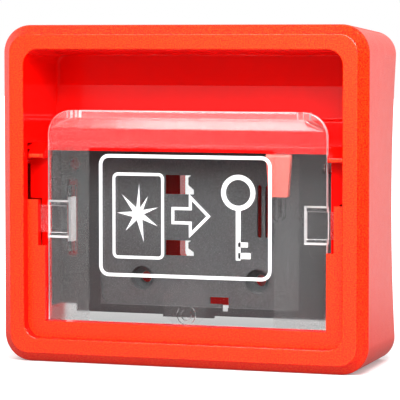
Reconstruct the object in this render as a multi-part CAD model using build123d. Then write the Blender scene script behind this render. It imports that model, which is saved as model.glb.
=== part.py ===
"""Break glass key box: a red moulded wall box with a clear cover that snaps off its tabs.

Millimetres. X is right, +Y is back towards the wall, +Z is up. The origin is the middle of the
footprint, at the level of the base. Depths are counted back from the bezel's face.
"""

import os

from build123d import *

# ---------------------------------------------------------------- driving dimensions
# Outer moulding
WIDTH = 140.0
HEIGHT = 124.5
DEPTH = 50.0
BEVEL = 3.6               # width of the bevel round the face
BEVEL_DEPTH = 3.5
CORNER_R = 10.3           # at the back of the bevel
REAR_CORNER_R = 8.6
SIDE_TAPER = 2.1          # each side wall leans in by this at the rear edge
TOP_TAPER = 2.4
SIDE_BOW = 2.0            # the side walls' rear edges are drawn in at mid height
WALL = 2.5
BEVEL_EDGE_R = 0.9        # behind the bevel
FACE_EDGE_R = 0.35        # between the face and the bevel
PILOT_SKIN = 1.0          # left in front of a pilot hole
EMBED = 1.0               # a boss starts this far inside the wall that carries it
SAME_PLACE = 1e-3         # nearer than this counts as the same depth

# Opening in the face
BEZEL = 9.0               # face width beside the opening
BEZEL_THICK = 3.0
OPENING_R = 5.7
OPENING_EDGE_R = 0.5
WELL_WALL = 2.3
WELL_LEAN = 1.2           # draft of the finger well, each side over its depth

# Finger well, above and behind the cover's top edge
WELL_DEPTH = 30.0
WELL_BACK_R = 1.6
WELL_FLOOR_Z = 81.0
WELL_FLOOR_THICK = 2.0
WELL_CREASE_Z = 102.0
WELL_LEDGE_Z = 89.7
WELL_LEAN_FORWARD = 1.6   # the back wall comes forward from the crease to the ledge
WELL_LEDGE = 2.4          # and stands further forward under it
WELL_LEDGE_R = 0.9
WELL_BACK_WALL = 2.0

# Frame that the cover stands in
FRAME_DEPTH = 4.0
LIP_THICK = 2.8
LIP_WIDTH = 6.9           # side lips
SILL_HEIGHT = 6.0
SILL_DEPTH = 6.0
SILL_THICK = 2.5
KEEPER_LOW_Z = 43.1       # the narrow lips in front of the break tabs
KEEPER_HIGH_Z = 60.0
KEEPER_WIDTH = 4.1

# Clear cover
COVER_THICK = 2.0
COVER_SETBACK = 2.0       # behind the frame's face
COVER_GAP = 0.4           # to the side lips
COVER_SILL_GAP = 0.3
COVER_TOP_Z = 93.1
COVER_CORNER_R = 9.0
COVER_EDGE_R = 0.35
GRIP_LOW_Z = 86.4         # a recess for the fingertips slopes back from here
GRIP_SLOPE = 2.4
GRIP_LIP_Z = 90.4         # and steps to a lip behind
GRIP_STEP = 0.8
GRIP_INSET = 1.2          # from the cover's side to the recess's lower corner
GRIP_MITRE = 7.8          # sideways run of its mitred ends
GRIP_WALL = 2.0
GRIP_EDGE_R = 0.6
GRIP_TOP_R = 1.1          # the lip's top edge, where a fingertip lies
POCKET_SETBACK = 1.4
POCKET_THICK = 1.5
POCKET_LENGTH = 7.6
POCKET_WALL = 1.2         # beside the hollow
POCKET_RIM = 2.1          # over and under the hollow
POCKET_SLOPE = 0.8        # the rear edges slope by this
POCKET_EDGE_R = 0.35
TAB_MID_Z = 52.8
TAB_HEIGHT = 9.8
TAB_REACH = 5.4
TAB_SCORE = 0.45
TAB_R = 0.8
EJECTOR_X = 49.3
EJECTOR_Z = (19.1, 43.4, 65.0, 82.3)
EJECTOR_R = 2.4
EJECTOR_SINK = 0.12
RING_R = 3.5
RING_BORE_R = 2.0
RING_HEIGHT = 1.4
BLADE_INSET = 8.1         # from the cover's edge
BLADE_THICK = 1.2
BLADE_LOW_Z = 40.8
BLADE_HIGH_Z = 65.3
BLADE_HEIGHT = 5.0
PEG_INSET = 18.7
PEG_WIDTH = 3.8
PEG_WALL = 1.2
PEG_LOW_Z = 53.8
PEG_TOP_Z = 61.8
PEG_HEIGHT = 4.4

# Inner frame behind the lips
SLOT_PLAY = 0.3
PANEL_THICK = 2.5
PANEL_REACH = 1.0         # outwards past the opening
PANEL_RISE = 1.0          # above the sill
PANEL_NECK = 3.4          # width beside the tabs, from the lips' edge
BAR_HEIGHT = 2.8
BAR_THICK = 3.5
BAR_EDGE_R = 0.8
SHOULDER_HEIGHT = 5.6
SHOULDER_NOSE = 1.6       # upright part under the slope
SHOULDER_PROUD = 0.3      # in front of the frame's face
SHOULDER_R = 0.6
SHOULDER_END = 1.3        # behind the face, its end reaches this far outwards
EAR_HEIGHT = 5.6
EAR_INSET = 3.8           # screw line to the housing's outer face at the frame
LOW_EAR_Z = 22.0
FRAME_BOSS_R = 2.4

# Retaining finger
FINGER_TOP_WIDTH = 9.4
FINGER_TIP_WIDTH = 7.0
FINGER_THICK = 2.4
FINGER_TIP_Z = 62.6
FINGER_GAP = 0.3
ROUND_SPARE = 0.02        # left flat between two full rounds

# Black chassis
CHASSIS_DEPTH = 22.0
CHASSIS_THICK = 2.0
CHASSIS_LOW_Z = 17.2
CHASSIS_GAP = 0.3
TRAY_WALL = 1.5
TRAY_INSET = 4.9          # behind the frame's opening edge
TRAY_LOW_Z = 20.0
PANEL_RECESS = 0.8
RECESS_HALF_WIDTH = 38.6
RECESS_LOW_Z = 20.4
RECESS_HIGH_Z = 75.6
RECESS_R = 4.0
WINDOW_LEFT_X = -13.5
WINDOW_RIGHT_X = -2.1
HIGH_WINDOW_Z = (61.9, 69.0)
LOW_WINDOW_Z = (39.1, 44.8)
HOOK_REACH = 2.1
HOOK_BACK = 3.0
WIRE_SLOTS_X = ((22.5, 24.2), (25.6, 27.4))
WIRE_SLOTS_Z = (46.5, 65.9)
BLADE_SLOT_X = (-52.2, -48.4)
BLADE_SLOT_Z = (38.0, 66.4)
LATCH_X = (-13.9, 5.7)
LATCH_DROP = 0.9
LATCH_SLOT_X = (4.1, 11.5)
LATCH_SLOT_WIDTH = 2.6
LATCH_SLOT_Z = (18.9, 24.1)
DISCS = ((-26.9, 57.2), (6.7, 47.5))
DISC_R = 4.8
DISC_RECESS = 0.3
FOOT_NOTCH = 7.6

# Wall fixings
FIXING_X = 22.5
FIXING_Z = 30.4
FIXING_R = 2.2
HEAD_R = 4.5
HEAD_DEPTH = 5.0
HEAD_FLOOR = 2.0
HEAD_WALL = 1.8
HIGH_FIXING_X = 49.5
HIGH_FIXING_Z = 72.5
POST_R = 4.6

# Red rear plate
PLATE_THICK = 2.5
PLATE_GAP = 1.2           # to the side walls at mid height
PLATE_TOP_GAP = 2.6
PLATE_LOW_Z = 18.5
PLATE_R = 5.0
CABLE_HALF_WIDTH = 15.0
CABLE_LOW_Z = 35.5
CABLE_HIGH_Z = 70.5
CABLE_R = 3.0
RIM_HEIGHT = 3.5
RIM_THICK = 1.8

# Screws
SCREW_R = 1.35
SCREW_LENGTH = 11.0
SCREW_HEAD_R = 2.7
SCREW_HEAD_HEIGHT = 1.6
SCREW_PLAY = 0.06
FRAME_SCREW_R = 1.1
FRAME_SCREW_LENGTH = 6.5
FRAME_SCREW_HEAD_R = 2.1
FRAME_SCREW_HEAD_HEIGHT = 1.5
RECESS_ACROSS = 1.6
BOSS_R = 3.4
HIGH_POST_X = 45.0
HIGH_POST_DROP = 19.5     # below the top
SIDE_POST_INSET = 12.0
SIDE_POST_Z = 50.0
SIDE_POST_LENGTH = 11.0
CHASSIS_BOSS_X = 36.0
CHASSIS_BOSS_Z = (26.0, 68.0)
GUSSET = 2.0

# ---------------------------------------------------------------- derived places
HALF = WIDTH / 2
OPEN_HALF = HALF - BEZEL
OPEN_LOW = BEZEL
OPEN_HIGH = HEIGHT - BEZEL
LIP_BACK = FRAME_DEPTH + LIP_THICK
LIP_HALF = OPEN_HALF - LIP_WIDTH
SILL_Z = OPEN_LOW + SILL_HEIGHT
COVER_FRONT = FRAME_DEPTH + COVER_SETBACK
COVER_BACK = COVER_FRONT + COVER_THICK
COVER_HALF = LIP_HALF - COVER_GAP
COVER_LOW = SILL_Z + COVER_SILL_GAP
TAB_FRONT = COVER_FRONT + POCKET_SETBACK
TAB_BACK = TAB_FRONT + POCKET_THICK
PANEL_FRONT = TAB_BACK + SLOT_PLAY
PANEL_BACK = PANEL_FRONT + PANEL_THICK
BAR_BACK = PANEL_FRONT + BAR_THICK
BAR_TOP = WELL_FLOOR_Z
BAR_LOW = BAR_TOP - BAR_HEIGHT
SHOULDER_LOW = BAR_TOP - SHOULDER_HEIGHT
HIGH_EAR_Z = WELL_FLOOR_Z - WELL_FLOOR_THICK - SLOT_PLAY - EAR_HEIGHT / 2
EAR_X = HALF - WALL - EAR_INSET
LEDGE_DEPTH = WELL_DEPTH - WELL_LEAN_FORWARD - WELL_LEDGE
CHASSIS_BACK = CHASSIS_DEPTH + CHASSIS_THICK
CHASSIS_TOP = WELL_FLOOR_Z - WELL_FLOOR_THICK - CHASSIS_GAP
HEAD_BACK = CHASSIS_DEPTH + HEAD_DEPTH + HEAD_FLOOR
PLATE_FRONT = DEPTH - PLATE_THICK
FINGER_FRONT = COVER_BACK + FINGER_GAP
FINGER_TOP = BAR_LOW - FINGER_GAP
PEG_X = COVER_HALF - PEG_INSET
BLADE_X = BLADE_INSET - COVER_HALF
TRAY_HALF = OPEN_HALF - TRAY_INSET
PLATE_HALF = HALF - SIDE_TAPER - SIDE_BOW - WALL - PLATE_GAP
PLATE_HIGH = HEIGHT - TOP_TAPER - WALL - PLATE_TOP_GAP
SIDE_POST_X = HALF - SIDE_POST_INSET
HIGH_POST_Z = HEIGHT - HIGH_POST_DROP

PLATE_SCREW_POINTS = [
    (side * x, z)
    for side in (-1, 1)
    for x, z in ((HIGH_POST_X, HIGH_POST_Z), (SIDE_POST_X, SIDE_POST_Z))
]
CHASSIS_SCREW_POINTS = [(side * CHASSIS_BOSS_X, z) for side in (-1, 1) for z in CHASSIS_BOSS_Z]
FRAME_SCREW_POINTS = [(side * EAR_X, z) for side in (-1, 1) for z in (LOW_EAR_Z, HIGH_EAR_Z)]


# ---------------------------------------------------------------- drawing helpers
def upright(depth):
    """Vertical drawing plane at a depth: its x is X, its y is Z, and it faces the front."""
    return Plane(origin=(0, depth - DEPTH / 2, 0), x_dir=(1, 0, 0), z_dir=(0, -1, 0))


def slab(sketch, front, back):
    """A flat sketch made solid between two depths."""
    return extrude(upright(back) * sketch, amount=back - front)


def rect(x0, x1, z0, z1):
    return Pos((x0 + x1) / 2, (z0 + z1) / 2) * Rectangle(x1 - x0, z1 - z0)


def round_rect(x0, x1, z0, z1, radius):
    return Pos((x0 + x1) / 2, (z0 + z1) / 2) * RectangleRounded(x1 - x0, z1 - z0, radius)


def disc(x, z, radius):
    return Pos(x, z) * Circle(radius)


def block(x0, x1, front, back, z0, z1):
    return slab(rect(x0, x1, z0, z1), front, back)


def rod(x, z, radius, front, back):
    return slab(disc(x, z, radius), front, back)


def profile(points, x0, x1):
    """A closed (depth, z) outline made solid between two X values."""
    side = Plane(origin=(x0, -DEPTH / 2, 0), x_dir=(0, 1, 0), z_dir=(1, 0, 0))
    return extrude(side * make_face(Polyline(*points, close=True)), amount=x1 - x0)


def both_sides(shape):
    return shape + mirror(shape, about=Plane.YZ)


def outline(half_width, low, high, radius, bow):
    """Rounded outline of the box, its upright sides drawn in by the bow at mid height."""
    middle = (low + high) / 2
    corners = [(-half_width, low), (half_width, low), (half_width, high), (-half_width, high)]
    if bow:
        right = ThreePointArc(corners[1], (half_width - bow, middle), corners[2])
        left = ThreePointArc(corners[3], (bow - half_width, middle), corners[0])
    else:
        right = Line(corners[1], corners[2])
        left = Line(corners[3], corners[0])
    face = make_face([Line(corners[0], corners[1]), right, Line(corners[2], corners[3]), left])
    return fillet(face.vertices(), radius)


def soften(solid, depth, radius):
    """Round every edge that lies flat at a depth."""
    place = depth - DEPTH / 2
    level = [e for e in solid.edges() if abs(e.bounding_box().center().Y - place) < SAME_PLACE]
    return fillet(level, radius)


# ---------------------------------------------------------------- front housing
def housing_body():
    """Bevelled face and tapered walls, open at the rear."""
    face = upright(0) * outline(HALF - BEVEL, BEVEL, HEIGHT - BEVEL, CORNER_R - BEVEL, 0)
    rim = upright(BEVEL_DEPTH) * outline(HALF, 0, HEIGHT, CORNER_R, 0)
    rear = upright(DEPTH) * outline(
        HALF - SIDE_TAPER, 0, HEIGHT - TOP_TAPER, REAR_CORNER_R, SIDE_BOW
    )
    body = loft([face, rim], ruled=True) + loft([rim, rear], ruled=True)
    body = soften(body, BEVEL_DEPTH, BEVEL_EDGE_R)
    body = soften(body, 0, FACE_EDGE_R)
    inner_front = upright(BEZEL_THICK) * outline(
        HALF - WALL, WALL, HEIGHT - WALL, CORNER_R - WALL, 0
    )
    inner_rear = upright(DEPTH) * outline(
        HALF - SIDE_TAPER - WALL, WALL, HEIGHT - TOP_TAPER - WALL, REAR_CORNER_R - WALL, SIDE_BOW
    )
    return body - loft([inner_front, inner_rear], ruled=True)


def well_space():
    """The space in front of the well's back wall, leaning in on every side."""
    mouth = upright(0) * outline(OPEN_HALF, OPEN_LOW, OPEN_HIGH, OPENING_R, 0)
    end = upright(WELL_DEPTH) * outline(
        OPEN_HALF - WELL_LEAN, OPEN_LOW + WELL_LEAN, OPEN_HIGH - WELL_LEAN, OPENING_R - WELL_LEAN, 0
    )
    space = loft([mouth, end], ruled=True)
    return fillet(space.faces().sort_by(Axis.Y)[-1].edges(), WELL_BACK_R)


def finger_well():
    """Walls of the finger well: a box behind the opening's upper part, with a stepped back."""
    outer = OPEN_HALF + WELL_WALL
    floor_low = WELL_FLOOR_Z - WELL_FLOOR_THICK
    top = OPEN_HIGH + WELL_WALL
    walls = block(-outer, outer, BEZEL_THICK, WELL_DEPTH + WELL_BACK_WALL, floor_low, top)
    walls -= block(-outer, outer, 0, BAR_BACK + CHASSIS_GAP, 0, WELL_FLOOR_Z)
    walls -= well_space() & block(-HALF, HALF, 0, DEPTH, WELL_FLOOR_Z, HEIGHT)
    walls += well_ledge()
    hollow = LEDGE_DEPTH + WELL_BACK_WALL
    back = WELL_DEPTH + WELL_BACK_WALL
    walls -= block(-outer, outer, hollow, back, 0, WELL_LEDGE_Z - WELL_BACK_WALL)
    return walls


def well_ledge():
    """Lower part of the well's back wall: it leans forward to a rounded ledge and drops to the floor."""
    inner = OPEN_HALF - WELL_LEAN
    lean = WELL_DEPTH - WELL_LEAN_FORWARD
    ledge = profile(
        [
            (WELL_DEPTH + WELL_BACK_WALL, WELL_CREASE_Z),
            (WELL_DEPTH, WELL_CREASE_Z),
            (lean, WELL_LEDGE_Z),
            (LEDGE_DEPTH, WELL_LEDGE_Z),
            (LEDGE_DEPTH, WELL_FLOOR_Z - WELL_FLOOR_THICK),
            (WELL_DEPTH + WELL_BACK_WALL, WELL_FLOOR_Z - WELL_FLOOR_THICK),
        ],
        -inner,
        inner,
    )
    steps = ledge.edges().filter_by(Axis.X).filter_by_position(Axis.Z, WELL_LEDGE_Z, WELL_LEDGE_Z)
    return fillet(steps, WELL_LEDGE_R)


def cover_frame():
    """Recessed frame with lips beside the cover and a sill under it."""
    outer = OPEN_HALF + WELL_WALL
    low = OPEN_LOW - WELL_WALL
    ring = block(-outer, outer, BEZEL_THICK, FRAME_DEPTH, low, OPEN_HIGH + WELL_WALL)
    lips = block(-outer, outer, FRAME_DEPTH, LIP_BACK, low, KEEPER_HIGH_Z)
    frame = ring + lips
    frame -= block(-LIP_HALF, LIP_HALF, 0, DEPTH, SILL_Z, HEIGHT)
    keeper_half = OPEN_HALF - KEEPER_WIDTH
    frame -= block(-keeper_half, keeper_half, 0, DEPTH, KEEPER_LOW_Z, HEIGHT)
    sill = block(
        -LIP_HALF - WALL, LIP_HALF + WALL, FRAME_DEPTH, FRAME_DEPTH + SILL_DEPTH,
        SILL_Z - SILL_THICK, SILL_Z,
    )
    return frame + sill


def housing_posts():
    """Screw bosses for the inner frame and posts for the rear plate, with their pilot holes."""
    posts = [rod(x, z, FRAME_BOSS_R, BEZEL_THICK, PANEL_FRONT) for x, z in FRAME_SCREW_POINTS]
    well_back = WELL_DEPTH + WELL_BACK_WALL / 2
    for side in (-1, 1):
        posts.append(rod(side * HIGH_POST_X, HIGH_POST_Z, BOSS_R, well_back, PLATE_FRONT))
        front = PLATE_FRONT - SIDE_POST_LENGTH
        posts.append(rod(side * SIDE_POST_X, SIDE_POST_Z, BOSS_R, front, PLATE_FRONT))
    gusset = block(
        SIDE_POST_X, HALF - SIDE_TAPER - SIDE_BOW - GUSSET / 2,
        PLATE_FRONT - SIDE_POST_LENGTH, PLATE_FRONT,
        SIDE_POST_Z - GUSSET / 2, SIDE_POST_Z + GUSSET / 2,
    )
    return posts + both_sides(gusset).solids()


def opening_space():
    """The opening in the face: straight down to the cover's frame, leaning into the finger well."""
    straight = round_rect(-OPEN_HALF, OPEN_HALF, OPEN_LOW, OPEN_HIGH, OPENING_R)
    lower = slab(straight & rect(-HALF, HALF, 0, WELL_FLOOR_Z), 0, FRAME_DEPTH)
    return lower + (well_space() & block(-HALF, HALF, 0, FRAME_DEPTH, WELL_FLOOR_Z, HEIGHT))


def front_housing():
    shell = housing_body() + finger_well() + cover_frame()
    for post in housing_posts():
        shell += post
    shell -= opening_space()
    opening_edges = shell.faces().sort_by(Axis.Y)[0].inner_wires().edges()
    shell = fillet(opening_edges, OPENING_EDGE_R)
    for x, z in FRAME_SCREW_POINTS:
        shell -= rod(x, z, FRAME_SCREW_R + SCREW_PLAY, BEZEL_THICK + PILOT_SKIN, PANEL_FRONT)
    for x, z in PLATE_SCREW_POINTS:
        shell -= rod(x, z, SCREW_R + SCREW_PLAY, DEPTH - SCREW_LENGTH - SCREW_PLAY, PLATE_FRONT)
    return shell


# ---------------------------------------------------------------- inner frame
def shoulder():
    """Right-hand shoulder: its top slopes down to a rounded nose, its end passes behind the face."""
    nose = FRAME_DEPTH - SHOULDER_PROUD
    slope = [
        (nose, SHOULDER_LOW),
        (nose, SHOULDER_LOW + SHOULDER_NOSE),
        (PANEL_FRONT, BAR_TOP),
        (BAR_BACK, BAR_TOP),
        (BAR_BACK, SHOULDER_LOW),
    ]
    body = profile(slope, LIP_HALF + SLOT_PLAY, OPEN_HALF - SLOT_PLAY)
    body = fillet(body.faces().sort_by(Axis.Y)[0].edges(), SHOULDER_R)
    end = profile(slope, LIP_HALF + LIP_WIDTH / 2, OPEN_HALF + SHOULDER_END)
    room = block(
        0, HALF, FRAME_DEPTH + SLOT_PLAY, DEPTH, HIGH_EAR_Z + FRAME_BOSS_R + SLOT_PLAY,
        BAR_TOP - SLOT_PLAY,
    )
    return body + (end & room)


def inner_frame():
    """Bar under the finger well, shoulders at its ends, and panels behind the lips."""
    bar_half = OPEN_HALF - COVER_GAP
    panel_half = OPEN_HALF + PANEL_REACH
    bar = block(-bar_half, bar_half, PANEL_FRONT, BAR_BACK, BAR_LOW, BAR_TOP)
    top_edges = bar.edges().filter_by(Axis.X).group_by(Axis.Z)[-1]
    frame = fillet(top_edges.sort_by(Axis.Y)[0], BAR_EDGE_R)
    panel = block(
        LIP_HALF + SLOT_PLAY, panel_half, PANEL_FRONT, PANEL_BACK, SILL_Z + PANEL_RISE,
        SHOULDER_LOW,
    )
    panel -= block(
        LIP_HALF + PANEL_NECK, panel_half, PANEL_FRONT, PANEL_BACK, KEEPER_LOW_Z - SLOT_PLAY,
        KEEPER_HIGH_Z + SLOT_PLAY,
    )
    frame += both_sides(shoulder()) + both_sides(panel)
    for x, z in FRAME_SCREW_POINTS:
        side = 1 if x > 0 else -1
        ear = rod(x, z, EAR_HEIGHT / 2, PANEL_FRONT, PANEL_BACK)
        inner_x = side * (LIP_HALF + SLOT_PLAY)
        ear += block(
            min(inner_x, x), max(inner_x, x), PANEL_FRONT, PANEL_BACK, z - EAR_HEIGHT / 2,
            z + EAR_HEIGHT / 2,
        )
        frame += ear
    for x, z in FRAME_SCREW_POINTS:
        frame -= rod(x, z, FRAME_SCREW_R + SCREW_PLAY, PANEL_FRONT, PANEL_BACK)
    return frame


# ---------------------------------------------------------------- clear cover
def cover_outline():
    """Front view of the cover, its top corners rounded."""
    shape = rect(-COVER_HALF, COVER_HALF, COVER_LOW, COVER_TOP_Z)
    return fillet(shape.vertices().group_by(Axis.Y)[-1], COVER_CORNER_R)


def grip(wall, back):
    """What the grip recess takes from the cover's top, grown sideways by a wall and moved back."""
    low_half = COVER_HALF - GRIP_INSET + wall
    high_half = low_half - GRIP_MITRE
    corner = [(low_half, GRIP_LOW_Z), (high_half, GRIP_LIP_Z), (high_half, HEIGHT)]
    mirrored = [(-x, z) for x, z in reversed(corner)]
    front_view = make_face(Polyline(*corner, *mirrored, close=True))
    lip = COVER_FRONT + GRIP_SLOPE + back
    slope = profile(
        [
            (0, GRIP_LOW_Z),
            (COVER_FRONT + back, GRIP_LOW_Z),
            (lip, GRIP_LIP_Z),
            (lip, HEIGHT),
            (0, HEIGHT),
        ],
        -HALF,
        HALF,
    )
    step = GRIP_SLOPE + GRIP_STEP
    mouth = upright(COVER_FRONT + back) * rect(-high_half, high_half, GRIP_LIP_Z, HEIGHT)
    floor = upright(COVER_FRONT + step + back) * rect(
        step - high_half, high_half - step, GRIP_LIP_Z, HEIGHT
    )
    return (slab(front_view, 0, DEPTH) & slope) + loft([mouth, floor], ruled=True)


def cover_plate():
    """Plate with the grip recess pressed back into its top, its front edges rounded."""
    shape = cover_outline()
    plate = soften(slab(shape, COVER_FRONT, COVER_BACK), COVER_FRONT, COVER_EDGE_R)
    plate += slab(shape, COVER_FRONT + COVER_EDGE_R, DEPTH) & grip(GRIP_WALL, COVER_THICK)
    plate -= grip(0, 0)
    level = plate.edges().filter_by(Axis.X)
    step = level.filter_by_position(Axis.Z, GRIP_LIP_Z, GRIP_LIP_Z).sort_by(Axis.Y)[0]
    plate = fillet(step, GRIP_EDGE_R)
    level = plate.edges().filter_by(Axis.X)
    top = level.filter_by_position(Axis.Z, COVER_TOP_Z, COVER_TOP_Z).sort_by(SortBy.LENGTH)[-2:]
    return fillet(top.sort_by(Axis.Y)[0], GRIP_TOP_R)


def cover_pocket():
    """Set-back floor and walls from which the right-hand break tab grows, and its hollow."""
    inner = COVER_HALF - POCKET_LENGTH
    low = TAB_MID_Z - TAB_HEIGHT / 2
    high = TAB_MID_Z + TAB_HEIGHT / 2
    floor = block(
        inner - POCKET_WALL, COVER_HALF, COVER_FRONT, TAB_BACK, low - POCKET_RIM,
        high + POCKET_RIM,
    )
    rear = floor.faces().sort_by(Axis.Y)[-1]
    sloped = rear.edges().filter_by(Axis.X) + rear.edges().filter_by(Axis.Z).sort_by(Axis.X)[:1]
    floor = chamfer(sloped, POCKET_SLOPE)
    hollow = block(inner, COVER_HALF, 0, TAB_FRONT, low, high)
    return floor, hollow


def pocket_edges(cover):
    """Edges of the pockets' hollows in the cover's face."""
    face = cover.faces().filter_by(Plane.XZ).sort_by(Axis.Y)[0]
    inner = COVER_HALF - POCKET_LENGTH
    return [
        edge
        for edge in face.edges()
        if abs(edge.center().X) > inner - SAME_PLACE
        and abs(edge.center().Z - TAB_MID_Z) < TAB_HEIGHT / 2 + SAME_PLACE
    ]


def break_cover():
    """Clear plate: bent top, break pockets, ejector marks, gate ring, blade and peg."""
    cover = cover_plate()
    floor, hollow = cover_pocket()
    cover = cover + both_sides(floor) - both_sides(hollow)
    cover = fillet(pocket_edges(cover), POCKET_EDGE_R)
    ring = rod(0, COVER_LOW + RING_R, RING_R, COVER_BACK, COVER_BACK + RING_HEIGHT)
    ring -= rod(0, COVER_LOW + RING_R, RING_BORE_R, COVER_BACK, COVER_BACK + RING_HEIGHT)
    blade = block(
        BLADE_X - BLADE_THICK / 2, BLADE_X + BLADE_THICK / 2, COVER_BACK,
        COVER_BACK + BLADE_HEIGHT, BLADE_LOW_Z, BLADE_HIGH_Z,
    )
    for z in EJECTOR_Z:
        mark = rod(EJECTOR_X, z, EJECTOR_R, COVER_BACK - EJECTOR_SINK, COVER_BACK)
        cover -= both_sides(mark)
    return cover + ring + blade + cover_peg()


def cover_peg():
    """Stirrup-shaped peg under the finger: two ribs joined by a round foot."""
    outer_r = PEG_WIDTH / 2
    inner_r = outer_r - PEG_WALL
    foot_z = PEG_LOW_Z + outer_r
    shape = rect(PEG_X - outer_r, PEG_X + outer_r, foot_z, PEG_TOP_Z) + disc(PEG_X, foot_z, outer_r)
    shape -= rect(PEG_X - inner_r, PEG_X + inner_r, foot_z, PEG_TOP_Z) + disc(PEG_X, foot_z, inner_r)
    return slab(shape, COVER_BACK, COVER_BACK + PEG_HEIGHT)


def break_tab(side):
    """Frangible tab: it is scored at the cover's edge and stays in the slot when it snaps."""
    low = TAB_MID_Z - TAB_HEIGHT / 2
    high = TAB_MID_Z + TAB_HEIGHT / 2
    end = COVER_HALF + TAB_REACH
    tab = block(COVER_HALF, end, TAB_FRONT, TAB_BACK, low, high)
    tab = fillet(tab.edges().filter_by(Axis.Y).group_by(Axis.X)[-1], TAB_R)
    groove = extrude(
        Plane(origin=(0, -DEPTH / 2, low), x_dir=(1, 0, 0), z_dir=(0, 0, 1))
        * make_face(
            Polyline(
                (COVER_HALF, TAB_FRONT),
                (COVER_HALF, TAB_FRONT + TAB_SCORE),
                (COVER_HALF + TAB_SCORE, TAB_FRONT),
                close=True,
            )
        ),
        amount=TAB_HEIGHT,
    )
    tab -= groove
    return tab if side > 0 else mirror(tab, about=Plane.YZ)


# ---------------------------------------------------------------- retaining finger
def retaining_finger():
    """Springy finger under the bar: it tapers to its tip and its root is rounded."""
    root_r = FINGER_THICK / 2
    root_z = FINGER_TOP - root_r
    half_top = FINGER_TOP_WIDTH / 2
    half_tip = FINGER_TIP_WIDTH / 2
    front_view = make_face(
        Polyline(
            (PEG_X - half_top, FINGER_TOP),
            (PEG_X + half_top, FINGER_TOP),
            (PEG_X + half_tip, FINGER_TIP_Z),
            (PEG_X - half_tip, FINGER_TIP_Z),
            close=True,
        )
    )
    front_view = fillet(front_view.vertices().group_by(Axis.Y)[0], root_r / 2)
    blade = slab(front_view, FINGER_FRONT, FINGER_FRONT + FINGER_THICK)
    root_edges = blade.edges().filter_by(Axis.X).group_by(Axis.Z)[-1]
    return fillet(root_edges, root_r - ROUND_SPARE)


# ---------------------------------------------------------------- black chassis
def chassis():
    """Tray with its windows, screw wells, wire slots and latch tongue."""
    plate = rect(-TRAY_HALF, TRAY_HALF, CHASSIS_LOW_Z, CHASSIS_TOP)
    notch = rect(TRAY_HALF - FOOT_NOTCH, TRAY_HALF, CHASSIS_LOW_Z, TRAY_LOW_Z)
    plate -= notch + mirror(notch, about=Plane.YZ)
    plate += rect(LATCH_X[0], LATCH_X[1], CHASSIS_LOW_Z - LATCH_DROP, CHASSIS_LOW_Z)
    for z0, z1 in (HIGH_WINDOW_Z, LOW_WINDOW_Z):
        plate -= rect(WINDOW_LEFT_X, WINDOW_RIGHT_X, z0, z1)
    for x0, x1 in WIRE_SLOTS_X:
        plate -= round_rect(x0, x1, *WIRE_SLOTS_Z, (x1 - x0) / 2 - ROUND_SPARE)
    plate -= rect(*BLADE_SLOT_X, *BLADE_SLOT_Z)
    plate -= rect(*LATCH_SLOT_X, LATCH_SLOT_Z[1] - LATCH_SLOT_WIDTH, LATCH_SLOT_Z[1])
    plate -= rect(LATCH_SLOT_X[1] - LATCH_SLOT_WIDTH, LATCH_SLOT_X[1], *LATCH_SLOT_Z)
    tray = slab(plate, CHASSIS_DEPTH, CHASSIS_BACK)
    wall_front = BAR_BACK + CHASSIS_GAP
    wall = block(
        TRAY_HALF - TRAY_WALL, TRAY_HALF, wall_front, CHASSIS_DEPTH, TRAY_LOW_Z,
        CHASSIS_TOP,
    )
    tray += both_sides(wall)
    recess = round_rect(
        -RECESS_HALF_WIDTH, RECESS_HALF_WIDTH, RECESS_LOW_Z, RECESS_HIGH_Z, RECESS_R
    )
    tray -= slab(recess, CHASSIS_DEPTH, CHASSIS_DEPTH + PANEL_RECESS)
    for x, z in DISCS:
        floor = CHASSIS_DEPTH + PANEL_RECESS
        tray -= rod(x, z, DISC_R, floor, floor + DISC_RECESS)
    for side in (-1, 1):
        tray += screw_well(side * FIXING_X)
        tray -= rod(side * FIXING_X, FIXING_Z, HEAD_R, CHASSIS_DEPTH, CHASSIS_DEPTH + HEAD_DEPTH)
        tray -= rod(side * FIXING_X, FIXING_Z, FIXING_R, CHASSIS_DEPTH, HEAD_BACK)
        tray -= rod(side * HIGH_FIXING_X, HIGH_FIXING_Z, FIXING_R, CHASSIS_DEPTH, CHASSIS_BACK)
    for x, z in CHASSIS_SCREW_POINTS:
        tray += rod(x, z, BOSS_R, CHASSIS_BACK - EMBED, PLATE_FRONT)
        tray -= rod(x, z, SCREW_R + SCREW_PLAY, DEPTH - SCREW_LENGTH - SCREW_PLAY, PLATE_FRONT)
    for z0, z1 in (HIGH_WINDOW_Z, LOW_WINDOW_Z):
        tray += hook_tongue(z0, z1)
    return tray


def screw_well(x):
    """Tube for a sunk wall screw's head, with a floor at its back."""
    return rod(x, FIXING_Z, HEAD_R + HEAD_WALL, CHASSIS_BACK - EMBED, HEAD_BACK)


def hook_tongue(low, high):
    """Nose on a window's right edge, on which the key's ring hangs."""
    height = (high - low) / 2
    nose = make_face(
        Polyline(
            (WINDOW_RIGHT_X, low + height / 2),
            (WINDOW_RIGHT_X - HOOK_REACH, low + height),
            (WINDOW_RIGHT_X - HOOK_REACH, high - height / 4),
            (WINDOW_RIGHT_X - HOOK_REACH / 2, high),
            (WINDOW_RIGHT_X, high),
            close=True,
        )
    )
    return slab(nose, CHASSIS_DEPTH + PANEL_RECESS, CHASSIS_BACK + HOOK_BACK)


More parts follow.
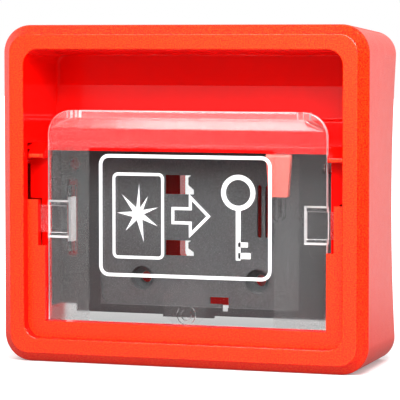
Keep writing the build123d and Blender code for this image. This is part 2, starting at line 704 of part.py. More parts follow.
# ---------------------------------------------------------------- rear plate
def rear_plate():
    """Wall plate with a rimmed cable opening and posts for the wall screws."""
    opening = round_rect(-CABLE_HALF_WIDTH, CABLE_HALF_WIDTH, CABLE_LOW_Z, CABLE_HIGH_Z, CABLE_R)
    rim = round_rect(
        -CABLE_HALF_WIDTH - RIM_THICK, CABLE_HALF_WIDTH + RIM_THICK, CABLE_LOW_Z - RIM_THICK,
        CABLE_HIGH_Z + RIM_THICK, CABLE_R + RIM_THICK,
    )
    face = round_rect(-PLATE_HALF, PLATE_HALF, PLATE_LOW_Z, PLATE_HIGH, PLATE_R)
    plate = slab(face, PLATE_FRONT, DEPTH) + slab(rim, PLATE_FRONT - RIM_HEIGHT, PLATE_FRONT)
    plate -= slab(opening, PLATE_FRONT - RIM_HEIGHT, DEPTH)
    for side in (-1, 1):
        plate += rod(side * FIXING_X, FIXING_Z, POST_R, HEAD_BACK, PLATE_FRONT)
        plate += rod(side * HIGH_FIXING_X, HIGH_FIXING_Z, POST_R, CHASSIS_BACK, PLATE_FRONT)
        plate -= rod(side * FIXING_X, FIXING_Z, FIXING_R, HEAD_BACK, DEPTH)
        plate -= rod(side * HIGH_FIXING_X, HIGH_FIXING_Z, FIXING_R, CHASSIS_BACK, DEPTH)
    for x, z in PLATE_SCREW_POINTS + CHASSIS_SCREW_POINTS:
        plate -= screw_seat(x, z)
    return plate


# ---------------------------------------------------------------- screws
def screw_seat(x, z):
    """Clearance hole and countersink in the rear plate's back."""
    hole = rod(x, z, SCREW_R + SCREW_PLAY, PLATE_FRONT, DEPTH)
    return hole + countersink(x, z, SCREW_PLAY)


def countersink(x, z, play):
    """Cone of a countersunk head, flush with the back."""
    tip_r = SCREW_R + play
    rim_r = SCREW_HEAD_R + play
    cone = Cone(tip_r, rim_r, SCREW_HEAD_HEIGHT, align=(Align.CENTER, Align.CENTER, Align.MIN))
    base = Plane(
        origin=(x, DEPTH / 2 - SCREW_HEAD_HEIGHT, z), x_dir=(1, 0, 0), z_dir=(0, 1, 0)
    )
    return base * cone


def countersunk_screws(points):
    """Self-tapping screws driven forwards into the posts, with a socket in each head."""
    screws = []
    for x, z in points:
        screw = rod(x, z, SCREW_R, DEPTH - SCREW_LENGTH, DEPTH) + countersink(x, z, 0)
        socket = Pos(x, z) * RegularPolygon(RECESS_ACROSS / 2, 6)
        screws.append(screw - slab(socket, DEPTH - SCREW_HEAD_HEIGHT + SCREW_PLAY, DEPTH))
    return Compound(children=screws)


def pan_screws():
    """Small pan-head screws that hold the inner frame to the housing's bosses."""
    screws = []
    for x, z in FRAME_SCREW_POINTS:
        shank = rod(x, z, FRAME_SCREW_R, PANEL_BACK - FRAME_SCREW_LENGTH, PANEL_BACK)
        head = rod(x, z, FRAME_SCREW_HEAD_R, PANEL_BACK, PANEL_BACK + FRAME_SCREW_HEAD_HEIGHT)
        head = fillet(head.edges().sort_by(Axis.Y)[-1], FRAME_SCREW_HEAD_HEIGHT / 3)
        socket = Pos(x, z) * RegularPolygon(RECESS_ACROSS / 2, 6)
        back = PANEL_BACK + FRAME_SCREW_HEAD_HEIGHT
        screws.append(shank + head - slab(socket, back - FRAME_SCREW_HEAD_HEIGHT / 2, back))
    return Compound(children=screws)


# ---------------------------------------------------------------- sub-parts
def main():
    parts = {
        "front_housing": front_housing(),
        "inner_frame": inner_frame(),
        "frame_screws": pan_screws(),
        "break_cover": break_cover(),
        "break_tab_left": break_tab(-1),
        "break_tab_right": break_tab(1),
        "retaining_finger": retaining_finger(),
        "chassis": chassis(),
        "chassis_screws": countersunk_screws(CHASSIS_SCREW_POINTS),
        "rear_plate": rear_plate(),
        "plate_screws": countersunk_screws(PLATE_SCREW_POINTS),
    }
    os.makedirs("parts", exist_ok=True)
    for name, shape in parts.items():
        export_step(shape, f"parts/{name}.step")


main()
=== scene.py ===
"""Looks of the break glass key box.

Metres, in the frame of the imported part: X right, +Y back, +Z up.
"""

import math

import bmesh
import bpy
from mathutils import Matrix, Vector


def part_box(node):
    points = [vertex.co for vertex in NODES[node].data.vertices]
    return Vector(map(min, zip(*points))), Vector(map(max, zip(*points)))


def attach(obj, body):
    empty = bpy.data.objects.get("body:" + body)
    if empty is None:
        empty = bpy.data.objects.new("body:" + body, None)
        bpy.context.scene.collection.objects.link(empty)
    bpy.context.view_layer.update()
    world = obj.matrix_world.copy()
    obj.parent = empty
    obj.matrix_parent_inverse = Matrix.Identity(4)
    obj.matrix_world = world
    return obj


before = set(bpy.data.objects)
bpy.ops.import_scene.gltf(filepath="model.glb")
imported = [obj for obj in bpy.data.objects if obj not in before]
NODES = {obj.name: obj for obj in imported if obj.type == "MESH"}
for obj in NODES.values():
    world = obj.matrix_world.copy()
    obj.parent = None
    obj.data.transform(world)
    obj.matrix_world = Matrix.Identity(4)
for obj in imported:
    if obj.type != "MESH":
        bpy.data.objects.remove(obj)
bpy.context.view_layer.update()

MM = 0.001

# ---------------------------------------------------------------- camera, in metres and degrees
CAMERA_PLACE = (0.2947, -0.8487, 0.1185)
CAMERA_AZIMUTH = 19.19
CAMERA_PITCH = -3.739
CAMERA_LENS_MM = 218.7
SENSOR_MM = 36.0
CLIP_START = 0.05

# ---------------------------------------------------------------- light
# Lamps shine on this point; a lamp's place is azimuth, elevation and distance from it
AIM = Vector((0, 0, 70 * MM))
# name, place (degrees, degrees, metres), width and height (metres), power (watts)
LAMPS = (
    ("key", (34, 37, 0.34), (0.16, 0.16), 1.45),
    ("overhead", (-15, 52, 0.42), (0.22, 0.2), 1.0),
    ("sheet", (5.5, 23.5, 1.2), (1.34, 0.6), 1.2),
)
# How bright the back and the front are in reflections, and the soft light
BACKDROP_LEVEL = 0.95
FRONT_LEVEL = 0.03
SOFT_LEVEL = 0.8
# Where the front turns into the back, as the Y part of a direction
HORIZON_FRONT = -0.2
HORIZON_BACK = 0.3
WHITE = (1.0, 1.0, 1.0)

# ---------------------------------------------------------------- floor
FLOOR_HALF = 4.0
FLOOR_PALE = ((0.88, 0.88, 0.88), (0.92, 0.92, 0.92))
FLOOR_DIM = (0.4, 0.4, 0.4)
FLOOR_IN_GLOSS = (0.03, 0.03, 0.03)
FLOOR_CLOUD = 0.5
FLOOR_ROUGH = 0.8
# The floor's own brightness: low under the part, full this far out
GLOW_NEAR, GLOW_FAR = 0.08, 0.4
GLOW_LEAST = 0.25
# In reflections the floor turns bright behind the part, between these places
MIRROR_FRONT_Y, MIRROR_BACK_Y = -0.1, 0.3

# ---------------------------------------------------------------- places on the part
HOUSING_LOW, HOUSING_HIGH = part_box("front_housing")
OPENING_INSET = 9.0 * MM
FRAME_DEPTH = 4.0 * MM
FRAME_FACE_Y = HOUSING_LOW.y + FRAME_DEPTH
# Polish reaches past the opening's edge, and further the deeper it lies
EDGE_DEPTH = 2 * MM
EDGE_MARGIN = 0.3 * MM
DEEP_MARGIN = 3 * MM
# Depth that counts as a face
SKIN = 0.3 * MM

# Cover: a polished window in a frosted border, and a partly frosted spot at the gate ring
COVER_FACE_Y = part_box("break_cover")[0].y
COVER_THICK = 2.0 * MM
PLATE_CLEARANCE = 0.05 * MM
PLATE_BACK_Y = COVER_FACE_Y + COVER_THICK + PLATE_CLEARANCE
WINDOW_LEFT = -37.6 * MM
WINDOW_RIGHT = 33.8 * MM
WINDOW_TOP = 79.5 * MM
GRIP_LOW = 86.0 * MM
GRIP_LIP = 90.3 * MM
POCKET_INNER = 43.0 * MM
POCKET_LOW = 44.5 * MM
POCKET_HIGH = 61.0 * MM
GATE_SPOT_Z = 23.0 * MM
GATE_SPOT_R = 8.8 * MM

# Recessed panel of the chassis
PANEL_HALF_WIDTH = 38.8 * MM
PANEL_LOW_Z = 20.2 * MM
PANEL_HIGH_Z = 75.8 * MM

# Parts of the normal that tell which way a face looks
FRONT_NORMAL_Y = -0.9
BEVEL_NORMAL_Y = -0.3
UNDERSIDE_NORMAL_Z = -0.7
TOPSIDE_NORMAL_Z = (0.85, 0.97)
COVER_NORMAL_Y = 0.8

# ---------------------------------------------------------------- finishes
# Moulded grain: size, noise detail, and the noise levels between which a speckle turns pale
GRAIN = 0.5 * MM
GRAIN_DETAIL = 1.0
SPECKLE = (0.35, 0.65)
# Size of the slow changes in gloss
RED_WANDER = 4 * MM
WANDER = 3 * MM

# Red ABS. A spread is how far the roughness wanders
ABS_IOR = 1.53
# Painted light: the front faces' grained red is an oranger lit copy of the red, the sides' and
# bevels' red a darker painted-shade copy
GRAINED_RED_PAINTED_LIT = (0.97, 0.066, 0.002)
# The dark of the grain, between its pale speckles, which are moulded grain and painted glints
GRAINED_RED_DARK = (0.9, 0.002, 0.0)
SIDE_RED_PAINTED_SHADE = (0.95, 0.045, 0.002)
GRAINED_ROUGH = 0.3
TOPSIDE_ROUGH = 0.62
BEVEL_ROUGH = 0.16
GRAINED_SPREAD = 0.08
GRAINED_BUMP = 0.12 * MM
GRAINED_BUMP_STRENGTH = 0.6
# Painted shade: the polished red inside the opening is a deeper shaded copy of the red, the two
# mixed at random
POLISHED_RED_PAINTED_SHADE = (0.88, 0.003, 0.001)
POLISHED_RED_PAINTED_SHADE_DARK = (0.84, 0.002, 0.001)
POLISHED_CLOUD = 30 * MM
POLISHED_ROUGH = 0.08
UNDERSIDE_ROUGH = 0.45
POLISHED_SPREAD = 0.03

# Sprung finger
# Painted highlight: the finger's red is paler all over, in place of the lamps' reflection on its
# face
FINGER_RED_PAINTED_HIGHLIGHT = ((0.93, 0.15, 0.12), (0.95, 0.21, 0.17))
SATIN_ROUGH = 0.3
SATIN_SPREAD = 0.08
SATIN_BUMP = 0.03 * MM
SATIN_BUMP_STRENGTH = 0.4

# Clear polycarbonate. A cloud is the share of light that isn't let through
CLEAR_IOR = 1.55
CLEAR_TINT = ((0.985, 0.985, 0.98), (0.995, 0.99, 0.99))
CLEAR_ROUGH = 0.03
CLEAR_IN_SHADOW = (0.92, 0.92, 0.92)
# The frost's grain in its tint, its light and dark dots a painted sparkle
FROST_DOTS_PAINTED_SPARKLE = ((0.72, 0.71, 0.71), (0.99, 0.98, 0.98))
FROST_DOT_GRAIN = (0.42, 0.6)
FROST_ROUGH = 0.12
FROST_SPREAD = 0.05
FROST_BUMP = 0.02 * MM
FROST_BUMP_STRENGTH = 0.2
FROST_IN_SHADOW = (0.82, 0.82, 0.82)
GATE_SPOT_FROST = 0.4
SPARKLE_GRAIN = (0.5, 0.68)
SPARKLE_CLOUD = 0.15
# Painted light and shade: the frost's cloud thicker on the left and thinner on the right, where
# the key lamp lights it; its share on the left and on the right, at this distance out
SPARKLE_PAINTED_SIDE_SHADE = (1.1, 0.5)
SPARKLE_REACH = 50 * MM
RIM_CLOUD = 0.5
LIP_CLOUD = 0.08

# Black ABS of the chassis, outside and inside the recessed panel
BLACK_OUTSIDE = ((0.034, 0.035, 0.037), (0.062, 0.064, 0.067))
BLACK_PANEL = ((0.084, 0.086, 0.089), (0.118, 0.121, 0.125))
BLACK_ROUGH = 0.45
BLACK_SPREAD = 0.1
BLACK_BUMP = 0.06 * MM
BLACK_BUMP_STRENGTH = 0.6

# Zinc plate of the screws
ZINC = ((0.56, 0.56, 0.53), (0.68, 0.68, 0.66))
ZINC_MARK = 1.5 * MM
ZINC_MARK_DETAIL = 4.0
ZINC_ROUGH = 0.25
ZINC_SPREAD = 0.2
ZINC_GRAIN = 0.3 * MM
ZINC_BUMP = 0.02 * MM
ZINC_BUMP_STRENGTH = 0.4

# White ink of the print
INK_WHITE = ((0.9, 0.9, 0.92), (0.97, 0.97, 0.98))
INK_MOTTLE = 0.8 * MM
INK_MOTTLE_DETAIL = 3.0
INK_ROUGH = 0.4
INK_SPREAD = 0.15
INK_BUMP = 0.01 * MM
INK_BUMP_STRENGTH = 0.5

# ---------------------------------------------------------------- print on the cover
INK_THICK = 0.03 * MM
INK_LIFT = 0.004 * MM

# From here on in millimetres, X and Z on the cover. Boxes are left, right, low and high
BORDER_BOX = (-32.7, 32.5, 32.9, 76.6)
BORDER_RADIUS = 3.2
BORDER_LINE = 1.3
PANE_BOX = (-27.5, -8.5, 39.5, 70.0)
PANE_RADIUS = 1.6
THIN_LINE = 1.1
CRACK_CENTRE = (-18, 55.5)
# Points of the crack round its centre: distance and angle in degrees, tips and hollows in turn
CRACK = (
    (7.6, 60), (2.4, 38), (8.2, 18), (2.2, -2), (8.8, -30), (2.6, -52),
    (10.5, -78), (2.3, -104), (8.0, -128), (2.4, -152), (8.3, 178), (2.2, 158),
    (9.6, 132), (2.4, 108), (11.0, 88), (2.3, 72),
)
ARROW = (
    (-4.5, 52.6), (2.2, 52.6), (2.2, 48.4), (9.2, 55.2),
    (2.2, 62.0), (2.2, 57.8), (-4.5, 57.8),
)
KEY_X = 20.5
KEY_RING_Z = 64.0
KEY_RING_RADIUS = 5.6
KEY_RING_STEPS = 32
KEY_TIP_Z = 39.5
KEY_LINE = 1.8
# Teeth of the key: height, end and width of the line
KEY_TEETH = ((41.2, 25.2, 2.2), (45.2, 24.2, 1.8))
CORNER_STEPS = 8
# A sharp corner's mitre stops at this share, so that it doesn't run out
MITRE_LEAST = 0.4


# ---------------------------------------------------------------- node helpers
def new_material(name):
    """A node material, its tree and its Principled shader."""
    material = bpy.data.materials.new(name)
    material.use_nodes = True
    tree = material.node_tree
    return material, tree, tree.nodes["Principled BSDF"]


def add(tree, kind, **settings):
    node = tree.nodes.new(kind)
    for key, value in settings.items():
        setattr(node, key, value)
    return node


def feed(tree, socket, value):
    """Links an output to the socket, or sets it where the value is a number or a colour."""
    if isinstance(value, bpy.types.NodeSocket):
        tree.links.new(value, socket)
    elif isinstance(value, tuple):
        socket.default_value = (*value, 1)
    else:
        socket.default_value = value


def math_node(tree, operation, *terms):
    """The output of a Math node whose inputs are numbers or outputs."""
    node = add(tree, "ShaderNodeMath", operation=operation)
    for socket, term in zip(node.inputs, terms):
        feed(tree, socket, term)
    return node.outputs[0]


def over_all(tree, operation, first, *others):
    """One operation taken over all the values in turn."""
    for other in others:
        first = math_node(tree, operation, first, other)
    return first


def rest_of(tree, share):
    """What a share leaves of 1."""
    return math_node(tree, "SUBTRACT", 1.0, share)


def between(tree, value, low, high):
    """1 where the value lies between low and high."""
    over = math_node(tree, "GREATER_THAN", value, low)
    under = math_node(tree, "LESS_THAN", value, high)
    return math_node(tree, "MULTIPLY", over, under)


def ramp(tree, value, low, high, low_out, high_out):
    """A value that goes evenly from low_out to high_out as the output goes from low to high."""
    node = add(tree, "ShaderNodeMapRange")
    feed(tree, node.inputs["Value"], value)
    node.inputs["From Min"].default_value = low
    node.inputs["From Max"].default_value = high
    node.inputs["To Min"].default_value = low_out
    node.inputs["To Max"].default_value = high_out
    return node.outputs[0]


def blend_value(tree, factor, a, b):
    """A value that goes from a to b with the factor."""
    node = add(tree, "ShaderNodeMix", data_type="FLOAT")
    for name, value in (("Factor", factor), ("A", a), ("B", b)):
        feed(tree, node.inputs[name], value)
    return node.outputs[0]


def blend_colour(tree, factor, a, b):
    """A colour that goes from a to b with the factor."""
    node = add(tree, "ShaderNodeMix", data_type="RGBA")
    colour_a, colour_b = node.inputs[6:8]
    for socket, value in ((node.inputs["Factor"], factor), (colour_a, a), (colour_b, b)):
        feed(tree, socket, value)
    return node.outputs[2]


def coordinate(tree, kind):
    """A texture coordinate, and its X, Y and Z."""
    place = add(tree, "ShaderNodeTexCoord").outputs[kind]
    split = add(tree, "ShaderNodeSeparateXYZ")
    tree.links.new(place, split.inputs[0])
    return place, split.outputs


def noise(tree, place, size, detail=2.0):
    """Noise whose features are about that size in metres."""
    node = add(tree, "ShaderNodeTexNoise")
    node.inputs["Scale"].default_value = 1 / size
    node.inputs["Detail"].default_value = detail
    tree.links.new(place, node.inputs["Vector"])
    return node.outputs["Fac"]


def roughen(tree, shader, wander, spread, least):
    """Roughness that wanders up from the least by the spread."""
    feed(tree, shader.inputs["Roughness"], math_node(tree, "MULTIPLY_ADD", wander, spread, least))


def bump(tree, shader, height, depth, strength):
    """Relief of that depth in metres."""
    node = add(tree, "ShaderNodeBump")
    node.inputs["Distance"].default_value = depth
    feed(tree, node.inputs["Strength"], strength)
    feed(tree, node.inputs["Height"], height)
    feed(tree, shader.inputs["Normal"], node.outputs[0])


# ---------------------------------------------------------------- materials
def finger_red_painted_highlight():
    """The sprung finger: the red painted paler as a highlight, with a satin roughness."""
    material, tree, shader = new_material("finger_red_painted_highlight")
    place, _ = coordinate(tree, "Object")
    wander = noise(tree, place, RED_WANDER)
    feed(tree, shader.inputs["Base Color"], blend_colour(tree, wander, *FINGER_RED_PAINTED_HIGHLIGHT))
    roughen(tree, shader, wander, SATIN_SPREAD, SATIN_ROUGH)
    bump(tree, shader, noise(tree, place, GRAIN), SATIN_BUMP, SATIN_BUMP_STRENGTH)
    shader.inputs["IOR"].default_value = ABS_IOR
    return material


def red_moulding():
    """Red ABS: fine grain on the face and sides, polished inside the opening, in painted lit and
    shaded reds.
    """
    material, tree, shader = new_material("red_moulding")
    place, (x, y, z) = coordinate(tree, "Object")
    _, (_, normal_y, normal_z) = coordinate(tree, "Normal")

    # Polished, and in a deeper painted-shade red, inside the opening's edge, but not on the
    # stepped frame's front face
    margin = ramp(tree, y, HOUSING_LOW.y + EDGE_DEPTH, FRAME_FACE_Y, EDGE_MARGIN, DEEP_MARGIN)
    from_side = math_node(tree, "SUBTRACT", HOUSING_HIGH.x, math_node(tree, "ABSOLUTE", x))
    from_top = math_node(tree, "SUBTRACT", HOUSING_HIGH.z, z)
    from_bottom = math_node(tree, "SUBTRACT", z, HOUSING_LOW.z)
    from_edge = over_all(tree, "MINIMUM", from_side, from_top, from_bottom)
    inset = math_node(tree, "ADD", from_edge, margin)
    inside_edge = math_node(tree, "GREATER_THAN", inset, OPENING_INSET)
    behind_face = math_node(tree, "GREATER_THAN", y, HOUSING_LOW.y + SKIN)
    faces_front = math_node(tree, "LESS_THAN", normal_y, FRONT_NORMAL_Y)
    at_frame = between(tree, y, FRAME_FACE_Y - SKIN, FRAME_FACE_Y + SKIN)
    frame_face = math_node(tree, "MULTIPLY", faces_front, at_frame)
    polish = over_all(tree, "MULTIPLY", inside_edge, behind_face, rest_of(tree, frame_face))

    # Moulded grain in the colour, its pale speckles also painted glints of the grain
    grain = noise(tree, place, GRAIN, GRAIN_DETAIL)
    speckle = ramp(tree, grain, *SPECKLE, 0, 1)
    # Painted shade: the sides and bevels darker than the front faces
    outside_red_painted_light = blend_colour(tree, faces_front, SIDE_RED_PAINTED_SHADE, GRAINED_RED_PAINTED_LIT)
    grained_with_painted_glints = blend_colour(tree, speckle, GRAINED_RED_DARK, outside_red_painted_light)
    # Painted shade: the deeper red inside the opening, clouded at random
    cloud = noise(tree, place, POLISHED_CLOUD)
    polished = blend_colour(tree, cloud, POLISHED_RED_PAINTED_SHADE, POLISHED_RED_PAINTED_SHADE_DARK)
    feed(tree, shader.inputs["Base Color"], blend_colour(tree, polish, grained_with_painted_glints, polished))

    wander = noise(tree, place, RED_WANDER)
    upward = ramp(tree, normal_z, *TOPSIDE_NORMAL_Z, GRAINED_ROUGH, TOPSIDE_ROUGH)
    bevel = between(tree, normal_y, FRONT_NORMAL_Y, BEVEL_NORMAL_Y)
    grained_least = blend_value(tree, bevel, upward, BEVEL_ROUGH)
    underside = math_node(tree, "LESS_THAN", normal_z, UNDERSIDE_NORMAL_Z)
    polished_least = blend_value(tree, underside, POLISHED_ROUGH, UNDERSIDE_ROUGH)
    least = blend_value(tree, polish, grained_least, polished_least)
    spread = blend_value(tree, polish, GRAINED_SPREAD, POLISHED_SPREAD)
    roughen(tree, shader, wander, spread, least)
    strength = blend_value(tree, polish, GRAINED_BUMP_STRENGTH, 0.0)
    bump(tree, shader, grain, GRAINED_BUMP, strength)
    shader.inputs["IOR"].default_value = ABS_IOR
    return material


def clear_moulding():
    """Clear polycarbonate: a polished window in a frosted border. Lamps shine through it."""
    material, tree, shader = new_material("clear_moulding")
    place, (x, y, z) = coordinate(tree, "Object")
    _, (_, normal_y, _) = coordinate(tree, "Normal")

    # Frost on the front and on all of the grip, outside the window, and thinly round the gate
    window_x = between(tree, x, WINDOW_LEFT, WINDOW_RIGHT)
    window = math_node(tree, "MULTIPLY", window_x, math_node(tree, "LESS_THAN", z, WINDOW_TOP))
    off_x = math_node(tree, "POWER", x, 2.0)
    off_z = math_node(tree, "POWER", math_node(tree, "SUBTRACT", z, GATE_SPOT_Z), 2.0)
    off_gate = math_node(tree, "ADD", off_x, off_z)
    spot = math_node(tree, "LESS_THAN", off_gate, GATE_SPOT_R**2)
    spot_polish = math_node(tree, "MULTIPLY_ADD", spot, -GATE_SPOT_FROST, 1.0)
    polish = math_node(tree, "MULTIPLY", window, spot_polish)
    front = math_node(tree, "LESS_THAN", normal_y, -COVER_NORMAL_Y)
    above = math_node(tree, "GREATER_THAN", z, WINDOW_TOP)
    frosted_side = math_node(tree, "MAXIMUM", front, above)
    frost = math_node(tree, "MULTIPLY", rest_of(tree, polish), frosted_side)

    # Clouded by the frost's sparkle, along cut edges and on the grip's lip
    grain = noise(tree, place, GRAIN, GRAIN_DETAIL)
    sparkle = ramp(tree, grain, *SPARKLE_GRAIN, 0.0, SPARKLE_CLOUD)
    # Painted shade: less cloud towards the right, where the key lamp lights the frost
    painted_side_shade = ramp(tree, x, -SPARKLE_REACH, SPARKLE_REACH, *SPARKLE_PAINTED_SIDE_SHADE)
    haze = over_all(tree, "MULTIPLY", frost, sparkle, painted_side_shade)
    edge_on = math_node(tree, "LESS_THAN", math_node(tree, "ABSOLUTE", normal_y), COVER_NORMAL_Y)
    in_plate = math_node(tree, "LESS_THAN", y, PLATE_BACK_Y)
    in_grip = math_node(tree, "GREATER_THAN", z, GRIP_LOW)
    pocket_x = math_node(tree, "GREATER_THAN", math_node(tree, "ABSOLUTE", x), POCKET_INNER)
    pocket_z = between(tree, z, POCKET_LOW, POCKET_HIGH)
    in_pocket = math_node(tree, "MULTIPLY", pocket_x, pocket_z)
    rim_place = over_all(tree, "MAXIMUM", in_plate, in_grip, in_pocket)
    rim = over_all(tree, "MULTIPLY", edge_on, rim_place, RIM_CLOUD)
    lip = math_node(tree, "MULTIPLY", math_node(tree, "GREATER_THAN", z, GRIP_LIP), LIP_CLOUD)
    cloud = over_all(tree, "MAXIMUM", haze, rim, lip)
    feed(tree, shader.inputs["Transmission Weight"], rest_of(tree, cloud))

    wander = noise(tree, place, WANDER)
    spread = blend_value(tree, frost, 0.0, FROST_SPREAD)
    roughen(tree, shader, wander, spread, blend_value(tree, frost, CLEAR_ROUGH, FROST_ROUGH))
    strength = blend_value(tree, frost, 0.0, FROST_BUMP_STRENGTH)
    bump(tree, shader, grain, FROST_BUMP, strength)
    clear = blend_colour(tree, wander, *CLEAR_TINT)
    # Painted sparkle: light and dark dots of the frost in its tint
    frost_dots_painted_sparkle = blend_colour(tree, ramp(tree, grain, *FROST_DOT_GRAIN, 0, 1), *FROST_DOTS_PAINTED_SPARKLE)
    feed(tree, shader.inputs["Base Color"], blend_colour(tree, frost, clear, frost_dots_painted_sparkle))
    shader.inputs["IOR"].default_value = CLEAR_IOR

    let_through = add(tree, "ShaderNodeBsdfTransparent")
    shadow = blend_colour(tree, frost, CLEAR_IN_SHADOW, FROST_IN_SHADOW)
    feed(tree, let_through.inputs["Color"], shadow)
    pick = add(tree, "ShaderNodeMixShader")
    shadow_ray = add(tree, "ShaderNodeLightPath").outputs["Is Shadow Ray"]
    for socket, value in zip(pick.inputs, (shadow_ray, shader.outputs[0], let_through.outputs[0])):
        feed(tree, socket, value)
    feed(tree, tree.nodes["Material Output"].inputs["Surface"], pick.outputs[0])
    return material


def black_moulding():
    """Black ABS with a fine satin grain, paler in the recessed panel."""
    material, tree, shader = new_material("black_moulding")
    place, (x, _, z) = coordinate(tree, "Object")
    panel_x = math_node(tree, "LESS_THAN", math_node(tree, "ABSOLUTE", x), PANEL_HALF_WIDTH)
    panel = math_node(tree, "MULTIPLY", panel_x, between(tree, z, PANEL_LOW_Z, PANEL_HIGH_Z))
    grain = noise(tree, place, GRAIN, GRAIN_DETAIL)
    speckle = ramp(tree, grain, *SPECKLE, 0, 1)
    outside = blend_colour(tree, speckle, *BLACK_OUTSIDE)
    inside = blend_colour(tree, speckle, *BLACK_PANEL)
    feed(tree, shader.inputs["Base Color"], blend_colour(tree, panel, outside, inside))
    roughen(tree, shader, noise(tree, place, WANDER), BLACK_SPREAD, BLACK_ROUGH)
    bump(tree, shader, grain, BLACK_BUMP, BLACK_BUMP_STRENGTH)
    return material


def plated_steel():
    """Zinc-plated steel with faint turning marks."""
    material, tree, shader = new_material("plated_steel")
    place, _ = coordinate(tree, "Object")
    marks = noise(tree, place, ZINC_MARK, ZINC_MARK_DETAIL)
    feed(tree, shader.inputs["Base Color"], blend_colour(tree, marks, *ZINC))
    shader.inputs["Metallic"].default_value = 1.0
    roughen(tree, shader, marks, ZINC_SPREAD, ZINC_ROUGH)
    bump(tree, shader, noise(tree, place, ZINC_GRAIN), ZINC_BUMP, ZINC_BUMP_STRENGTH)
    return material


def white_ink():
    """Screen-printed white ink, faintly uneven."""
    material, tree, shader = new_material("white_ink")
    place, _ = coordinate(tree, "Object")
    mottle = noise(tree, place, INK_MOTTLE, INK_MOTTLE_DETAIL)
    feed(tree, shader.inputs["Base Color"], blend_colour(tree, mottle, *INK_WHITE))
    roughen(tree, shader, mottle, INK_SPREAD, INK_ROUGH)
    bump(tree, shader, mottle, INK_BUMP, INK_BUMP_STRENGTH)
    return material


def dress(nodes, material):
    """Gives the material to all slots of the named nodes."""
    for name in nodes:
        for slot in NODES[name].material_slots:
            slot.material = material


# ---------------------------------------------------------------- print on the cover
def arc(x, z, radius, start, end, steps=CORNER_STEPS):
    """Points of an arc, angles in degrees."""
    turns = [math.radians(start + (end - start) * i / steps) for i in range(steps + 1)]
    return [(x + radius * math.cos(t), z + radius * math.sin(t)) for t in turns]


def round_path(x0, x1, z0, z1, radius):
    """A rectangle with round corners."""
    return (
        arc(x1 - radius, z1 - radius, radius, 0, 90)
        + arc(x0 + radius, z1 - radius, radius, 90, 180)
        + arc(x0 + radius, z0 + radius, radius, 180, 270)
        + arc(x1 - radius, z0 + radius, radius, 270, 360)
    )


def ribbon(path, width, closed):
    """Left and right edge points of a line of that width along a path, mitred at its points."""
    count = len(path)
    edges = []
    for i, (x, z) in enumerate(path):
        before = path[i - 1] if closed or i else path[i]
        after = path[(i + 1) % count] if closed or i < count - 1 else path[i]
        into = Vector((x - before[0], z - before[1]))
        out = Vector((after[0] - x, after[1] - z))
        into = into.normalized() if into.length else out.normalized()
        out = out.normalized() if out.length else into
        side = Vector((-(into.y + out.y), into.x + out.x)).normalized()
        reach = width / 2 / max(MITRE_LEAST, side.dot(Vector((-out.y, out.x))))
        left = (x + side.x * reach, z + side.y * reach)
        right = (x - side.x * reach, z - side.y * reach)
        edges.append((left, right))
    return edges


class Ink:
    """Flat ink on the cover's face, gathered into one mesh. Lengths in millimetres."""

    def __init__(self):
        self.mesh = bmesh.new()

    def point(self, x, z):
        return self.mesh.verts.new((x * MM, COVER_FACE_Y - INK_LIFT, z * MM))

    def line(self, path, width, closed=False):
        rows = [(self.point(*a), self.point(*b)) for a, b in ribbon(path, width, closed)]
        last = len(rows) if closed else len(rows) - 1
        for i in range(last):
            (a, b), (c, d) = rows[i], rows[(i + 1) % len(rows)]
            self.mesh.faces.new((a, c, d, b))

    def fill(self, points):
        self.mesh.faces.new([self.point(x, z) for x, z in points])

    def piece(self, name):
        bmesh.ops.recalc_face_normals(self.mesh, faces=self.mesh.faces)
        data = bpy.data.meshes.new(name)
        self.mesh.to_mesh(data)
        self.mesh.free()
        piece = bpy.data.objects.new(name, data)
        bpy.context.scene.collection.objects.link(piece)
        thick = piece.modifiers.new("ink", "SOLIDIFY")
        thick.thickness = INK_THICK
        thick.offset = 1.0
        return piece


def cover_print(material):
    """Three signs in a rounded border: a cracked pane, an arrow and a key."""
    ink = Ink()
    ink.line(round_path(*BORDER_BOX, BORDER_RADIUS), BORDER_LINE, closed=True)
    ink.line(round_path(*PANE_BOX, PANE_RADIUS), THIN_LINE, closed=True)
    x, z = CRACK_CENTRE
    turns = [(r, math.radians(angle)) for r, angle in CRACK]
    ink.fill([(x + r * math.cos(t), z + r * math.sin(t)) for r, t in turns])
    ink.line(ARROW, THIN_LINE, closed=True)
    ring = arc(KEY_X, KEY_RING_Z, KEY_RING_RADIUS, 0, 360, KEY_RING_STEPS)
    ink.line(ring[:-1], KEY_LINE, closed=True)
    ink.line([(KEY_X, KEY_RING_Z - KEY_RING_RADIUS), (KEY_X, KEY_TIP_Z)], KEY_LINE)
    for height, end, width in KEY_TEETH:
        ink.line([(KEY_X, height), (end, height)], width)
    piece = ink.piece("cover_print")
    piece.data.materials.append(material)
    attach(piece, "cover")


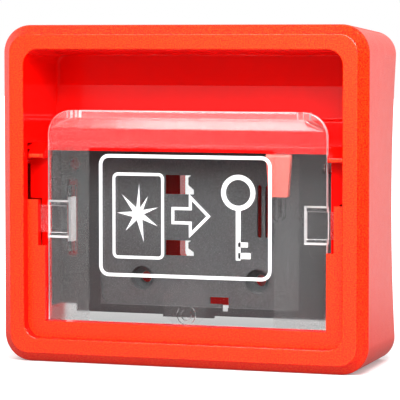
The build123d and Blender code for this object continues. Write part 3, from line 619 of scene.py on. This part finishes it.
# ---------------------------------------------------------------- stage
def white_floor():
    """Pale floor that reads white to the camera and keeps the part's shadow."""
    corners = [(-FLOOR_HALF, -FLOOR_HALF, 0), (FLOOR_HALF, -FLOOR_HALF, 0),
               (FLOOR_HALF, FLOOR_HALF, 0), (-FLOOR_HALF, FLOOR_HALF, 0)]
    mesh = bpy.data.meshes.new("floor")
    mesh.from_pydata(corners, [], [(0, 1, 2, 3)])
    floor = bpy.data.objects.new("floor", mesh)
    bpy.context.scene.collection.objects.link(floor)

    material, tree, shader = new_material("floor")
    place, (_, y, _) = coordinate(tree, "Object")
    rays = add(tree, "ShaderNodeLightPath").outputs
    in_gloss = math_node(tree, "MAXIMUM", rays["Is Glossy Ray"], rays["Is Transmission Ray"])
    away = add(tree, "ShaderNodeVectorMath", operation="LENGTH")
    tree.links.new(place, away.inputs[0])
    glow = ramp(tree, away.outputs["Value"], GLOW_NEAR, GLOW_FAR, GLOW_LEAST, 1.0)
    shown = math_node(tree, "MULTIPLY", rays["Is Camera Ray"], glow)
    behind = ramp(tree, y, MIRROR_FRONT_Y, MIRROR_BACK_Y, 0.0, BACKDROP_LEVEL)
    mirrored = math_node(tree, "MULTIPLY", in_gloss, behind)
    strength = math_node(tree, "MAXIMUM", shown, mirrored)
    feed(tree, shader.inputs["Emission Strength"], strength)
    feed(tree, shader.inputs["Emission Color"], WHITE)
    feed(tree, shader.inputs["Roughness"], FLOOR_ROUGH)
    pale = blend_colour(tree, noise(tree, place, FLOOR_CLOUD), *FLOOR_PALE)
    dim = blend_colour(tree, in_gloss, FLOOR_DIM, FLOOR_IN_GLOSS)
    colour = blend_colour(tree, rays["Is Camera Ray"], dim, pale)
    feed(tree, shader.inputs["Base Color"], colour)
    mesh.materials.append(material)


def surroundings():
    """White all round for the camera; a bright back and a dim front for light and reflections."""
    world = bpy.data.worlds.new("studio")
    bpy.context.scene.world = world
    world.use_nodes = True
    tree = world.node_tree
    background = tree.nodes["Background"]
    _, (_, y, _) = coordinate(tree, "Generated")
    rays = add(tree, "ShaderNodeLightPath").outputs
    front = blend_value(tree, rays["Is Transmission Ray"], FRONT_LEVEL, SOFT_LEVEL)
    to_back = ramp(tree, y, HORIZON_FRONT, HORIZON_BACK, 0, 1)
    back = blend_value(tree, to_back, front, BACKDROP_LEVEL)
    soft = blend_value(tree, rays["Is Diffuse Ray"], back, SOFT_LEVEL)
    strength = blend_value(tree, rays["Is Camera Ray"], soft, 1.0)
    feed(tree, background.inputs["Strength"], strength)
    feed(tree, background.inputs["Color"], WHITE)


def bearing(azimuth, elevation, distance):
    """A place seen from the aim point, azimuth 0 in front and growing to the right."""
    a, e = math.radians(azimuth), math.radians(elevation)
    away = Vector((math.sin(a) * math.cos(e), -math.cos(a) * math.cos(e), math.sin(e)))
    return AIM + away * distance


def lamps():
    """Plain rectangular softboxes that face the aim point."""
    for name, direction, (width, height), power in LAMPS:
        light = bpy.data.lights.new(name, "AREA")
        light.shape = "RECTANGLE"
        light.size = width
        light.size_y = height
        light.energy = power
        lamp = bpy.data.objects.new(name, light)
        lamp.location = bearing(*direction)
        lamp.rotation_euler = (AIM - bearing(*direction)).to_track_quat("-Z", "Y").to_euler()
        bpy.context.scene.collection.objects.link(lamp)


def camera():
    data = bpy.data.cameras.new("camera")
    data.lens = CAMERA_LENS_MM
    data.sensor_width = SENSOR_MM
    data.clip_start = CLIP_START
    holder = bpy.data.objects.new("camera", data)
    holder.location = CAMERA_PLACE
    holder.rotation_euler = (math.radians(90 + CAMERA_PITCH), 0, math.radians(CAMERA_AZIMUTH))
    bpy.context.scene.collection.objects.link(holder)
    bpy.context.scene.camera = holder


# ---------------------------------------------------------------- scene
bpy.context.scene.view_settings.view_transform = "Standard"
camera()
surroundings()
lamps()
white_floor()
dress(["front_housing", "inner_frame", "rear_plate"], red_moulding())
dress(["retaining_finger"], finger_red_painted_highlight())
dress(["break_cover", "break_tab_left", "break_tab_right"], clear_moulding())
dress(["chassis"], black_moulding())
dress(["frame_screws", "chassis_screws", "plate_screws"], plated_steel())
cover_print(white_ink())
